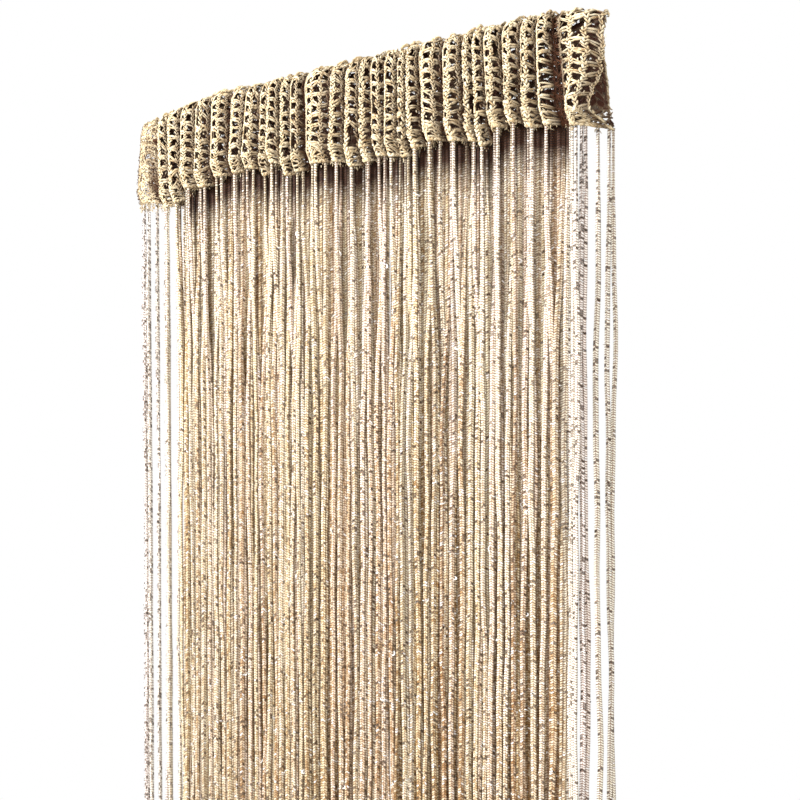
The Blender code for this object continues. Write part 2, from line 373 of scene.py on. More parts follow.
def wander(waves, length, row):
    """How far the knit is pulled out of line at a place, nothing at the foot."""
    pulled = sum(
        size * np.sin(along * length + upward * row + start)
        for size, along, upward, start in waves)
    return pulled * smooth(row / 2) * smooth((NET_ROWS - row) / 2)


def turn_at(length, row):
    """Turn round the pocket of a row of the net."""
    row = np.clip(row + wander(ROW_WAVES, length, row), 0.0, NET_ROWS)
    front = rows_in_front(length)
    return np.where(row < front, row / front, 1 + (row - front) / (NET_ROWS - front))


def row_height(length, row):
    """Height of one row of the net in metres."""
    tall = HEADING_HEIGHT + drop_at(phase_at(length))
    front = rows_in_front(length)
    return np.where(row < front, tall / front, tall / (NET_ROWS - front))


def on_wall(length, row, out):
    """Points that stand out from the net's wall by a distance."""
    turn = turn_at(length, row)
    length = np.clip(length + wander(CHAIN_WAVES, length, row), 0.0, NET_LENGTH)
    along = net_point(length + NUDGE, turn) - net_point(length - NUDGE, turn)
    ahead = np.minimum(turn + TURN_NUDGE, 2.0)
    behind = np.maximum(turn - TURN_NUDGE, 0.0)
    up = net_point(length, ahead) - net_point(length, behind)
    facing = np.cross(along, up)
    facing /= np.linalg.norm(facing, axis=-1, keepdims=True)
    return net_point(length, turn) + facing * out[..., None]


def taken(shape):
    """Points and faces of a finished bmesh, as arrays, and the bmesh is freed."""
    shape.verts.index_update()
    points = np.array([vert.co[:] for vert in shape.verts])
    faces = [[vert.index for vert in face.verts] for face in shape.faces]
    faces.sort(key=sorted)  # the operators leave them in an order that varies between runs
    shape.free()
    return points, faces


def ball(across_count, along_count):
    """A unit ball with its poles on the X axis, for a lobe or strand of yarn."""
    shape = bmesh.new()
    bmesh.ops.create_uvsphere(shape, u_segments=across_count, v_segments=along_count, radius=1)
    quarter = Matrix.Rotation(math.pi / 2, 3, "Y")
    bmesh.ops.rotate(shape, verts=shape.verts, cent=(0, 0, 0), matrix=quarter)
    return taken(shape)


def open_loop():
    """A small open loop that stands on its two ends."""
    shape = bmesh.new()
    bmesh.ops.create_circle(shape, cap_ends=True, segments=5, radius=0.3)
    bmesh.ops.translate(shape, verts=shape.verts, vec=(1, 0, 0))
    bmesh.ops.spin(
        shape, geom=shape.faces[:], cent=(0, 0, 0), axis=(0, 1, 0), angle=-math.pi, steps=5)
    bmesh.ops.recalc_face_normals(shape, faces=shape.faces)
    return taken(shape)


def tube(sides, steps):
    """A straight unit tube with many steps along Z from 0 to 1."""
    shape = bmesh.new()
    bmesh.ops.create_cone(shape, cap_ends=True, segments=sides, radius1=1, radius2=1, depth=1)
    upright = [edge for edge in shape.edges if abs(edge.verts[0].co.z - edge.verts[1].co.z) > 0.5]
    bmesh.ops.subdivide_edges(shape, edges=upright, cuts=steps - 1, use_grid_fill=True)
    bmesh.ops.translate(shape, verts=shape.verts, vec=(0, 0, 0.5))
    return taken(shape)


class Yarns:
    """Many small yarn shapes gathered into one mesh, with what their material reads."""

    def __init__(self):
        self.points, self.own, self.faces = [], [], []
        self.values = {name: [] for name in ("tint", "shade", "rim", "pale")}
        self.count = 0

    def add(self, points, own, faces, **values):
        """Add copies: points and own are copies x points x 3, the values copies x points."""
        copies, size = points.shape[:2]
        self.points.append(points.reshape(-1, 3))
        self.own.append(own.reshape(-1, 3))
        for name, store in self.values.items():
            store.append(np.broadcast_to(values.get(name, 0.0), (copies, size)).ravel())
        starts = self.count + np.arange(copies) * size
        by_size = {}
        for face in faces:
            by_size.setdefault(len(face), []).append(face)
        for group in by_size.values():
            block = starts[:, None, None] + np.array(group)[None]
            self.faces.append(block.reshape(-1, block.shape[-1]))
        self.count += copies * size

    def piece(self, name, material):
        """Make the joined mesh and its object."""
        mesh = bpy.data.meshes.new(name)
        faces = [face for block in self.faces for face in block.tolist()]
        mesh.from_pydata(np.concatenate(self.points).tolist(), [], faces)
        own = mesh.attributes.new("own_place", "FLOAT_VECTOR", "POINT")
        own.data.foreach_set("vector", np.concatenate(self.own).astype(np.float32).ravel())
        for title, store in self.values.items():
            attribute = mesh.attributes.new(title, "FLOAT", "POINT")
            attribute.data.foreach_set("value", np.concatenate(store).astype(np.float32))
        mesh.materials.append(material)
        mesh.shade_smooth()
        thing = bpy.data.objects.new(name, mesh)
        bpy.context.scene.collection.objects.link(thing)
        return thing


def sized(chance, count, spans):
    """Random half sizes in metres for each direction."""
    return [(least + more * chance.random(count) ** power) * MM for least, more, power in spans]


def own_place(shape, luck):
    """Each copy's own places in mm, which start at a random place of the pattern."""
    start = (luck[:, None, None] * 7919 * MM) * np.array((1.0, 0.7, 0.4))
    return (shape + start) / MM


def column(value, copies):
    """A number, or one number for each copy, as a column."""
    return np.broadcast_to(value, copies)[:, None]


def knit(yarns, master, length, row, luck, size, lean=0.0, out=0.0, rise=0.0, dim=0.0):
    """Lay copies of a master shape on the net's wall.

    length and row are the middles of the copies, size their half length, half height and half
    thickness in metres, lean their slope in the wall, out how far they stand off the wall, rise
    how much higher in rows their right end is, and dim how much darker they are.
    """
    points, faces = master
    copies = len(length)
    lean, out, rise, dim = (column(value, copies) for value in (lean, out, rise, dim))
    shape = points[None] * np.broadcast_to(stacked(*size), (copies, 3))[:, None]
    aside, above = turned(lean, shape[..., 0], shape[..., 1])
    tall = row_height(length, row)[:, None]
    at_length = np.clip(length[:, None] + aside, 0.0, NET_LENGTH)
    at_row = np.clip(row[:, None] + above / tall + rise * points[None, :, 0], 0.0, NET_ROWS)
    off = shape[..., 2] + out
    # Painted shade: where the folds close, on ends tucked under neighbours, and deep inside the
    # pocket
    tucked = TUCKED_SHADE * np.abs(points[None, :, 0]) ** 3
    yarns.add(
        on_wall(at_length, at_row, off), own_place(shape, luck), faces, tint=luck[:, None],
        shade=np.clip(painted_fold_shade(at_length, at_row) + tucked + dim, 0.0, 1.0),
        rim=np.clip(0.6 - off / HOLLOW_DEPTH, 0.0, 1.0))


def painted_fold_shade(length, row):
    """Painted shade where the folds close over a place: 1 in the valleys, 0 on the ridges and free
    ends.
    """
    phase = phase_at(length)
    height = np.abs(1 - turn_at(length, row))
    index, share = fold_at(phase)
    valley = (1 - roll(phase, height)) * np.where(index == 0, FIRST_FOLD_SHADE, VALLEY_SHADE)
    away = smooth((share - 0.6) / 0.4) * (0.3 + 0.7 * height)
    away = away * np.where(index == OPEN_FOLD, OPEN_FOLD_SHADE, TURNED_SHADE)
    from_crease = (length - CREASE_LENGTH + row * CREASE_SLOPE) / CREASE_WIDTH
    crease = np.exp(-from_crease ** 2) * smooth(row - 0.5) * smooth(3.5 - row / 2)
    closed = valley + away + CREASE_SHADE * crease
    closed = closed * np.where(row > rows_in_front(length), BACK_SHADE, 1.0)
    to_end = NET_LENGTH - length
    free = smooth((to_end - 2 * MM) / (6 * MM)) + np.where(length < NET_LENGTH / 2, 1.0, 0.0)
    return np.clip(closed * np.clip(free, 0.0, 1.0), 0.0, 1.0)


def wall_span(length, back):
    """First and last row of one wall at lengths along the net."""
    front = rows_in_front(length)
    if back:
        return front, np.full_like(front, NET_ROWS)
    return np.zeros_like(front), front


def crossed(lengths, rows):
    """Each length with each row."""
    return (grid.ravel() for grid in np.meshgrid(lengths, rows, indexing="ij"))


def knit_chains(yarns, back, seed):
    """Chains of stitches: two slanting lobes for each stitch."""
    chance = np.random.default_rng(seed)
    stitches = BACK_STITCHES_PER_ROW if back else STITCHES_PER_ROW
    steps = (np.arange(NET_ROWS * stitches) + 0.5) / stitches
    length, row = crossed(CHAIN_LENGTHS, steps)
    low, high = wall_span(length, back)
    kept = (row >= low) & (row < high)
    length, row = length[kept], row[kept]
    count = len(length)
    stitch = row_height(length, row) / stitches
    for side in (-1, 1):
        luck = chance.random(count)
        size = (
            stitch * (LOBE_SHARE[0] + LOBE_SHARE[1] * luck),
            LOBE_HEIGHT * (0.9 + 0.3 * chance.random(count)),
            LOBE_THICKNESS,
        )
        slant = np.radians(LOBE_SLANT[0] + LOBE_SLANT[1] * chance.random(count))
        place = length + side * LOBE_ASIDE
        lean = math.radians(90) - side * slant
        knit(yarns, ball(4, 3), place, row, luck, size, lean=lean, out=LOBE_OUT)


def knit_bars(yarns, look, back, seed):
    """Bars between the chains: two soft strands side by side that twist round each other."""
    chance = np.random.default_rng(seed)
    gaps = (CHAIN_LENGTHS[1:] + CHAIN_LENGTHS[:-1]) / 2
    length, row = crossed(gaps, np.arange(2 * NET_ROWS) / 2 + 0.5)
    low, high = wall_span(length, back)
    kept = (row >= np.maximum(low, BORDER_ROWS)) & (row < np.minimum(high, NET_ROWS - BORDER_ROWS))
    # The rows between the rows fill only the close-knitted ends
    right_end = RIGHT_END if back else 0.0
    to_end = np.where(length < NET_LENGTH / 2, length - LEFT_END, NET_LENGTH - length - right_end)
    filled = to_end < FILLED_FADE * chance.standard_normal(len(length))
    filled &= chance.random(len(length)) < FILLED_SHARE
    kept &= (row % 1 > 0.25) | filled
    kept &= back | (chance.random(len(length)) > MISSED_SHARE)
    length, row = length[kept], row[kept]
    count = len(length)
    at_left = length < LEFT_END
    share = look.back_bar_share if back else look.bar_share
    tall = row_height(length, row) * share * (0.85 + 0.3 * chance.random(count))
    if not back:
        tall *= np.where(at_left, LEFT_BAR_FULLNESS, 1.0)
    reach = np.where(at_left, LEFT_BAR_REACH, BACK_BAR_REACH if back else BAR_REACH) * CHAIN_PITCH
    # Painted shade: bars in the tangle's dark places are darkened to look like holes
    hole_shade = 1.0 * in_tangle_hole(length, row, HOLE_BAR_REACH)
    slope = BAR_SLOPE * chance.standard_normal(count)
    for place in FANS:
        # Bars slope down to a chain near the top edge, where the folds spread it
        near = np.exp(-((length - place) / FAN_WIDTH) ** 2)
        near = near * smooth(row / rows_in_front(length) * 3.2 - 1.9)
        slope += FAN_SLOPE * np.sign(length - place) * near
    high_share = BACK_STRAND_HEIGHT if back else STRAND_HEIGHT
    for side in (-1, 1):
        luck = chance.random(count)
        size = (
            reach,
            tall * high_share * (0.75 + 0.5 * chance.random(count)),
            STRAND_THICKNESS * (0.75 + 0.5 * chance.random(count)),
        )
        at_row = row + side * STRANDS_APART * tall / row_height(length, row)
        rise = slope + side * STRAND_SLOPE * chance.standard_normal(count)
        out = side * STRAND_OUT
        knit(yarns, ball(5, 4), length, at_row, luck, size, rise=rise, out=out, dim=hole_shade)


def knit_border(yarns, back, seed):
    """The close-knitted border at the foot, of short loops that lie every way."""
    chance = np.random.default_rng(seed)
    gaps = (np.arange(2 * STRING_COUNT) + 0.5) * CHAIN_PITCH / 2
    rows = (np.arange(BORDER_BARS) + 0.6) * BORDER_ROWS / BORDER_BARS
    length, row = crossed(gaps, NET_ROWS - rows if back else rows)
    count = len(length)
    luck = chance.random(count)
    size = (
        BORDER_LOOP[0] * (0.8 + 0.4 * chance.random(count)),
        BORDER_LOOP[1] * (0.7 + 0.6 * luck),
        BORDER_LOOP[2] * (0.7 + 0.6 * chance.random(count)),
    )
    lean = BORDER_LEAN * chance.standard_normal(count)
    row = row + BORDER_SHIFT * chance.standard_normal(count)
    out = BORDER_OUT * chance.standard_normal(count)
    knit(yarns, ball(4, 4), length, row, luck, size, lean=lean, out=out)


def knit_foot(yarns, seed):
    """The twisted cord along the foot and the knot at the root of each string."""
    chance = np.random.default_rng(seed)
    count = int(NET_LENGTH / CORD_PITCH)
    length = np.linspace(2 * MM, NET_LENGTH - 2 * MM, count)
    row = np.full(count, CORD_ROW)
    luck = chance.random(count)
    knit(yarns, ball(5, 4), length, row, luck, CORD_STRAND, lean=CORD_LEAN, out=CORD_OUT)
    row = np.full(STRING_COUNT, KNOT_ROW)
    luck = chance.random(STRING_COUNT)
    size = (KNOT[0], KNOT[1] * (0.9 + 0.4 * luck), KNOT[2])
    knit(yarns, ball(6, 5), CHAIN_LENGTHS, row, luck, size, out=KNOT_OUT)


def knit_fuzz(yarns, seed):
    """Loose bits of yarn: a dense tangle at the left end and a few all over the front."""
    chance = np.random.default_rng(seed)
    count = TANGLE_BITS + LOOSE_BITS
    dense = np.arange(count) < TANGLE_BITS
    share = chance.random(count)
    # The tangle reaches further along the net near the foot
    reach = (TANGLE_FADE - TANGLE_LENGTH) * chance.random(count) ** 2 * (1 - share)
    reach = TANGLE_LENGTH + reach
    length = chance.random(count) * np.where(dense, reach, NET_LENGTH)
    row = rows_in_front(length) * share
    kept = ~(dense & in_tangle_hole(length, row, HOLE_REACH))
    dense, length, row = dense[kept], length[kept], row[kept]
    count = len(length)
    size = sized(chance, count, LOOSE_SIZE)
    out = chance.uniform(*LOOSE_OUT, count) * MM
    lean = chance.uniform(-LOOSE_LEAN, LOOSE_LEAN, count)
    dim = np.where(dense, TANGLE_SHADE * chance.random(count) ** 1.3, 0.0)
    luck = chance.random(count)
    knit(yarns, ball(4, 3), length, row, luck, size, lean=lean, out=out, dim=dim)


def tumbled(points, size, spin, tilt, yaw):
    """Copies rolled about their own length, then tilted, then turned about the upright."""
    shape = points[None] * stacked(*size)[:, None]
    high, deep = turned(spin, shape[..., 1], shape[..., 2])
    along, above = turned(tilt, shape[..., 0], high)
    return shape, stacked(*turned(yaw, along, deep), above)


def knit_tufts(yarns, seed):
    """Short ends of yarn that hang ragged from the foot, longest at the left end."""
    chance = np.random.default_rng(seed)
    points, faces = ball(4, 3)
    dense = np.arange(TUFTS) < TUFTS_AT_LEFT
    near, anywhere = TANGLE_LENGTH * chance.random(TUFTS), NET_LENGTH * chance.random(TUFTS)
    length = np.where(dense, near, anywhere)
    reach = np.where(dense, TUFT_LENGTH_AT_LEFT, TUFT_LENGTH) * chance.random(TUFTS) ** 1.5
    place = net_point(length, np.zeros(TUFTS)) + TUFT_SPREAD * chance.standard_normal((TUFTS, 3))
    place[:, 2] -= reach
    size = sized(chance, TUFTS, TUFT_SIZE)
    turns = chance.uniform(-1.0, 1.0, (3, TUFTS, 1))
    spin, tilt, yaw = turns * TUFT_TURNS[:, None, None]
    shape, offset = tumbled(points, size, spin, tilt + math.pi / 2, yaw)
    luck = chance.random(TUFTS)
    # Each tuft gets painted shade at random
    hollow_shade, shade = (0.5 * chance.random((TUFTS, 1)) for _ in range(2))
    yarns.add(
        place[:, None] + offset, own_place(shape, luck), faces, tint=luck[:, None],
        shade=shade, rim=hollow_shade)


def knit_top_loops(yarns, seed):
    """Loops of yarn that stand up along the ruffled top edge."""
    chance = np.random.default_rng(seed)
    count = LOOPS_PER_CHAIN * STRING_COUNT
    length = np.linspace(3 * MM, NET_LENGTH - 3 * MM, count)
    length = length + 0.8 * MM * chance.standard_normal(count)
    luck = chance.random(count)
    size = (
        TOP_LOOP[0] * (0.6 + 0.9 * luck),
        TOP_LOOP[1],
        TOP_LOOP[2] * (0.4 + 1.3 * chance.random(count) ** 2),
    )
    row = rows_in_front(length) + chance.uniform(-0.3, 0.3, count)
    lean = TOP_LOOP_LEAN * chance.standard_normal(count)
    knit(yarns, open_loop(), length, row, luck, size, lean=lean)


# How the strings hang, much as in their solid
SPREAD_END = 330 * MM
SPREAD_NEIGHBOURS = 3
ROW_DEPTH = -15 * MM
ROW_STAGGER = 3.6 * MM
KEPT_AT_END = 4
END_UNEVEN = 5 * MM
END_RHYTHM = 7.3
FIRST_STEPS = 104  # lengthwise, of the strand in front
FIRST_SIDES = 8
SECOND_STEPS = 80  # and of the one behind it
SECOND_SIDES = 6
TOP_STEPS = 1.25  # above 1 the steps are closer near the top
SECOND_DEPTH = -8 * MM  # Y of the strands behind, which hang evenly spaced
SECOND_UNEVEN = 0.3 * MM
SECOND_STILL = 0.35  # how much of the waves of the strands in front they have
SECOND_HIDDEN = np.array((-3.8, 4.0)) * MM  # at the left end they hang straight behind
SECOND_RISE = 6 * MM  # of their tops, inside the foot of the pocket
SECOND_SHARE = 1.12  # of the first strand's width
THIN_AT_LEFT = 0.75  # share of the width that shows of the strands at the left end
# Where the last strands leave the foot, from the right end of the net
LAST_ROOTS = np.array((30.8, 20.5, 16.2, 5.8)) * MM
LAST_SECOND_ROOTS = np.array((38.0, 17.8, 11.4, 2.2)) * MM
LAST_LEAN = 3 * MM  # how far they hang out to the right
LAST_LEAN_LENGTH = 600 * MM
ROOT_SHARE = 0.56  # of a strand's width, where it leaves the heading
ROOT_LENGTH = 90 * MM  # over which it widens and turns from its root
FREE_LENGTH = 120 * MM  # over which its waves begin
WAVES = ((1.1 * MM, 0.46), (0.5 * MM, 0.17), (0.3 * MM, 0.083))  # size and length of each
TWIST_LENGTH = 0.63
TWIST = 0.35  # radians, of a strand in front
SECOND_TWIST = 0.1
FACING = math.radians(32)  # how the tapes are turned on average, from facing the front
FACING_SPREAD = math.radians(62)
FACING_AT_LEFT = math.radians(35)
FACING_AT_RIGHT = math.radians(8)  # turned to the light, so they are the palest
APART_AT_LEFT = 9  # first chains, whose strands hang apart and edgeways
FINER = 0.4  # stitches get finer towards the right end, where the yarn is tighter
CRUSHED_PLACES = 14  # on each strand, where the metallic film is crushed together
CRUSHED_SPREAD = 0.0012  # share of a strand's length
# Shares of the film's ends on the strands behind, at the left end and in crushed places
FILM_BEHIND = 0.15
FILM_AT_LEFT = 0.36
FILM_CRUSHED = 0.3
# Angles round a strand where film lies, mostly in front, and how far out it lies as shares of the
# strand's width and thickness
FILM_AROUND, FILM_OUT = (-3.6, 0.5), (0.52, 0.56)
FILM_LOOP_AROUND, FILM_LOOP_OUT = (-3.4, 0.3), (0.45, 0.5)
FILM_GLINT, FILM_GLINT_AT_LEFT = 0.75, 2.5  # powers of its brightness, above 1 where it is rarer
GROOVE = ((0.0, 0.7071, 1.0), (0.62, 1.35, 1.0))  # thickness across a tape, from its middle out
EDGE_SHADE_AT_RIGHT = 0.78  # share of the painted shade on a tape's edges that shows there

# How pale the yarn is, with painted light and shade: the least and how much more at random, then
# what is taken off
TONE = (0.44, 0.32)
# Painted shade: the strands behind are darker
BEHIND_PAINTED_SHADE = 0.10
TONE_TO_LEFT = 0.16
PAINTED_LIGHT_AT_LEFT = (1.2, 0.09)  # painted light, of the first chain, and less for each one after it
# Painted light on the last strands, at the right end
PAINTED_LIGHT_AT_RIGHT = (1.12, 0.18)
DARKER_BELOW = 0.36  # at the right end, lower than this length
DARKER_LENGTH = 600 * MM
DARKER_KEPT = 0.25  # share of it that the last strands have
CLEAR_PAINTED_LIGHT = 0.2  # painted light, more near the top, where a strand hangs clear of a fold's ridge
CLEAR_LENGTH = 150 * MM
# Shade of the strands behind, and under the heading behind and in front
BEHIND_SHADE = (0.11, 0.21)
UNDER_SHADE = (1.3, 1.2)
UNDER_START = 4 * MM
UNDER_LENGTH = 43 * MM


class Strings:
    """Where the strands hang and how they are turned, wide, pale and shaded.

    Each string is looped through its chain, so it hangs as two strands: strand number n and, a
    little behind it, strand number n + STRING_COUNT.
    """

    def __init__(self, look):
        chance = np.random.default_rng(5)
        lengths = np.concatenate((CHAIN_LENGTHS, CHAIN_LENGTHS))
        lengths[STRING_COUNT - KEPT_AT_END:STRING_COUNT] = NET_LENGTH - LAST_ROOTS
        lengths[-KEPT_AT_END:] = NET_LENGTH - LAST_SECOND_ROOTS
        strands = 2 * STRING_COUNT
        chain = np.tile(np.arange(STRING_COUNT), 2)
        at_left = chain < APART_AT_LEFT
        at_right = chain >= STRING_COUNT - KEPT_AT_END
        second = np.arange(strands) >= STRING_COUNT
        before, roots, after = (
            net_point(lengths + step * MM, np.zeros(strands)) for step in (-1.5, 0, 1.5))
        hanging = roots[:, :2].copy()
        for number in range(APART_AT_LEFT, STRING_COUNT - KEPT_AT_END):
            reach = min(SPREAD_NEIGHBOURS, STRING_COUNT - 1 - number)
            middle = roots[number - reach:number + reach + 1, 0].mean()
            hanging[number] = middle, ROW_DEPTH + (ROW_STAGGER if number % 2 else -ROW_STAGGER)
        row = np.flatnonzero(second & ~at_right & ~at_left)
        even = np.linspace(roots[row[0], 0], roots[row[-1], 0], len(row))
        even = even + SECOND_UNEVEN * chance.standard_normal(len(row))
        depth = SECOND_DEPTH + SECOND_UNEVEN * chance.standard_normal(len(row))
        roots[row, 0] = hanging[row, 0] = even
        roots[row, 1] = hanging[row, 1] = depth
        roots[second & at_left, :2] += SECOND_HIDDEN
        hanging[second & at_left] += SECOND_HIDDEN
        roots[second & ~at_right, 2] += SECOND_RISE
        behind = second & ~at_right
        from_middle = roots[:, 0] / CURTAIN_WIDTH
        self.look, self.roots, self.hanging = look, roots, hanging
        self.behind, self.at_left, self.at_right = behind, at_left, at_right
        self.bearing = np.arctan2(after[:, 1] - before[:, 1], after[:, 0] - before[:, 0])
        self.ridge = roll(phase_at(lengths), 1.0)
        self.fineness = 1 - FINER * from_middle
        uneven = 0.5 + 0.5 * np.sin(END_RHYTHM * np.arange(strands))
        self.low = -CURTAIN_DROP + END_UNEVEN * uneven
        self.waves = chance.random((strands, 5))
        self.tint = chance.random(strands)
        self.crushed = chance.random((strands, CRUSHED_PLACES))
        self.tone = TONE[0] + TONE[1] * chance.random(strands) - BEHIND_PAINTED_SHADE * behind
        self.tone -= TONE_TO_LEFT * (0.5 - from_middle)
        # Painted light on the strands at both ends
        self.tone[at_left] += PAINTED_LIGHT_AT_LEFT[0] - PAINTED_LIGHT_AT_LEFT[1] * chain[at_left]
        self.tone[at_right] = PAINTED_LIGHT_AT_RIGHT[0] + PAINTED_LIGHT_AT_RIGHT[1] * self.tint[at_right]
        self.facing = FACING + FACING_SPREAD * (chance.random(strands) - 0.5)
        self.facing[behind] = 1.15 * FACING + 0.25 * (self.facing[behind] - FACING)
        self.facing[at_left] = FACING_AT_LEFT
        self.facing[at_right] = FACING_AT_RIGHT
        self.bearing[behind & ~at_left] = self.facing[behind & ~at_left]
        self.size = 0.86 + 0.3 * chance.random(strands)
        self.size *= np.where(behind, SECOND_SHARE, 1.0)
        self.size[at_left] *= THIN_AT_LEFT

    def line(self, strands, level):
        """Strands at levels from 0 at the root to 1 at the end.

        Gives their middle, the distance below the root, the flat face's yaw, width and thickness.
        """
        def where_behind(one, other):
            return np.where(self.behind[strands], one, other)[:, None]

        top = self.roots[strands, 2, None]
        z = top + (self.low[strands, None] - top) * level
        below = top - z
        share = smooth((-z - HEADING_HEIGHT) / (SPREAD_END - HEADING_HEIGHT))
        places = self.roots[strands, :2, None] + share[:, None] * (
            self.hanging - self.roots[:, :2])[strands, :, None]
        x, y = places[:, 0], places[:, 1]
        x = x + LAST_LEAN * self.at_right[strands, None] * smooth(below / LAST_LEAN_LENGTH)
        free = smooth(below / FREE_LENGTH) * where_behind(SECOND_STILL, 1.0)
        for index, (size, wave) in enumerate(WAVES):
            turn = self.waves[strands, index, None] * math.tau
            x = x + free * size * np.sin(math.tau * z / wave + turn)
            y = y + free * 0.6 * size * np.cos(math.tau * z / wave * 0.83 + 2 * turn)
        twist = math.tau * below / TWIST_LENGTH + self.waves[strands, 0, None] * 9
        twist = where_behind(SECOND_TWIST, TWIST) * np.sin(twist)
        bearing = self.bearing[strands, None]
        grown = smooth(below / ROOT_LENGTH)
        yaw = bearing + grown * (self.facing[strands, None] + twist - bearing)
        narrow = where_behind(1.0, ROOT_SHARE)
        wide = self.look.string_width * self.size[strands, None]
        wide = wide * (narrow + (1 - narrow) * grown)
        thin = np.where(self.at_left[strands], THIN_AT_LEFT, 1.0)[:, None]
        thick = self.look.string_thickness * (0.8 + 0.2 * grown) * thin
        return stacked(x, y, z), below, yaw, wide, thick

    def on_face(self, strands, level, around, wider, thicker):
        """Places round strands, with the distance below the root and the yaw there."""
        middle, below, yaw, wide, thick = self.line(strands, level)
        aside = turned(yaw, wider * wide * np.cos(around), thicker * thick * np.sin(around))
        return middle + stacked(*aside, 0.0), below, yaw

    def shade(self, strands, below):
        """How dark a strand is: behind another, and under the heading in a valley's shade."""
        behind = np.where(
            self.behind[strands], BEHIND_SHADE[0] + BEHIND_SHADE[1] * self.waves[strands, 3], 0.0)
        under = np.where(
            self.behind[strands], UNDER_SHADE[0], UNDER_SHADE[1] * (1 - self.ridge[strands]))
        at_end = self.at_left[strands] | self.at_right[strands]
        fading = 1 - smooth((below - UNDER_START) / UNDER_LENGTH)
        under = np.where(at_end, 0.0, under)[:, None] * fading
        behind = np.where(self.at_left[strands], 0.0, behind)[:, None]
        return np.clip(behind + under, 0.0, 1.0)

    def pale(self, strands, below):
        """How pale a strand is, with painted light that makes it palest where it hangs clear of a
        fold's ridge.

        Towards the foot and the right end the colour is a little darker.
        """
        clear = np.where(self.behind[strands], 0.0, self.ridge[strands])[:, None]
        clear = CLEAR_PAINTED_LIGHT * clear * (1 - smooth(below / CLEAR_LENGTH))
        darker = DARKER_BELOW * smooth(below / DARKER_LENGTH)
        darker = darker * (0.5 + self.roots[strands, 0, None] / CURTAIN_WIDTH)
        darker = darker * np.where(self.at_right[strands, None], DARKER_KEPT, 1.0)
        return self.tone[strands, None] + clear - darker


def knit_strings(strings, strands, sides, steps):
    """The tapes of some strands, each with two ridges of stitches and a groove between them."""
    points, faces = tube(sides, steps)
    level = points[:, 2] ** TOP_STEPS
    angle = np.arctan2(points[:, 1], points[:, 0])
    cosine = np.round(np.cos(angle), 6)
    plump = np.interp(np.abs(cosine), *GROOVE) * np.sin(angle)
    middle, below, yaw, wide, thick = strings.line(strands, level[None])
    side = 0.5 * wide * cosine
    front = 0.5 * thick * plump
    along = middle[..., 2] / strings.fineness[strands, None]
    # Painted shade on the tape's edges
    rim = np.abs(cosine)[None] * np.where(strings.at_right[strands], EDGE_SHADE_AT_RIGHT, 1.0)[:, None]
    yarns = Yarns()
    yarns.add(
        middle + stacked(*turned(yaw, side, front), 0.0),
        stacked(side, front + strands[:, None] * 37 * MM, along) / MM, faces,
        tint=strings.tint[strands, None], shade=strings.shade(strands, below), rim=rim,
        pale=strings.pale(strands, below))
    return yarns


def knit_film(yarns, strings, look, seed):
    """Short crushed ends of metallic film on the faces and edges of the strings."""
    chance = np.random.default_rng(seed)
    points, faces = ball(3, 2)
    count = STRING_COUNT * look.specks_per_string
    # Most are on the strands in front
    numbers = chance.integers(0, STRING_COUNT, count)
    numbers = numbers + STRING_COUNT * (chance.random(count) < FILM_BEHIND)
    on_left = chance.random(count) < FILM_AT_LEFT
    numbers = np.where(on_left, chance.integers(0, APART_AT_LEFT, count), numbers)
    crushed = strings.crushed[numbers, chance.integers(0, CRUSHED_PLACES, count)]
    crushed = crushed + CRUSHED_SPREAD * chance.standard_normal(count)
    in_crushed = chance.random(count) < FILM_CRUSHED
    level = np.where(in_crushed, crushed, chance.random(count))[:, None]
    around = chance.uniform(*FILM_AROUND, (count, 1))
    # At the left end they line the edges of the strands
    left = strings.at_left[numbers]
    around[left] = np.round(around[left] / math.pi) * math.pi + 0.3 * np.sin(9 * around[left])
    level = np.clip(level, 0.012, 0.995)
    place, below, yaw = strings.on_face(numbers, level, around, *FILM_OUT)
    size = sized(chance, count, FILM_SIZE)
    tilt = chance.uniform(-1.2, 1.2, (count, 1)) + math.pi / 2
    shape, offset = tumbled(points, size, math.tau * chance.random((count, 1)), tilt, yaw)
    # Film that lies in the shade doesn't glint
    luck = chance.random(count) ** np.where(left, FILM_GLINT_AT_LEFT, FILM_GLINT)
    luck = luck * (1 - strings.shade(numbers, below)[:, 0])
    yarns.add(place + offset, (shape + luck[:, None, None]) / MM, faces, tint=luck[:, None])


def knit_film_loops(yarns, strings, look, seed):
    """Open loops of film that stand out of the strings."""
    chance = np.random.default_rng(seed)
    points, faces = open_loop()
    numbers = np.repeat(np.arange(STRING_COUNT), look.loops_per_string)
    count = len(numbers)
    level = strings.crushed[numbers, chance.integers(0, CRUSHED_PLACES, count)][:, None]
    around = chance.uniform(*FILM_LOOP_AROUND, (count, 1))
    level = np.clip(level, 0.02, 0.99)
    place, below, yaw = strings.on_face(numbers, level, around, *FILM_LOOP_OUT)
    shape = points[None] * stacked(*sized(chance, count, FILM_LOOP_SIZE))[:, None]
    # A loop stands out to the side that its place faces, with its opening turned at random
    spin = math.tau * chance.random((count, 1))
    aside, above = turned(spin, shape[..., 0], shape[..., 1])
    offset = stacked(*turned(yaw, *turned(around, shape[..., 2], aside)), above)
    # Loops in painted shade are painted dimmer
    luck = (0.35 + 0.65 * chance.random(count)) * (1 - strings.shade(numbers, below)[:, 0])
    yarns.add(place + offset, (shape + luck[:, None, None]) / MM, faces, tint=luck[:, None])


def colour(code):
    """Linear colour from an sRGB hex code."""
    channels = [int(code[place:place + 2], 16) / 255 for place in (1, 3, 5)]
    linear = [c / 12.92 if c <= 0.04045 else ((c + 0.055) / 1.055) ** 2.4 for c in channels]
    return (*linear, 1.0)


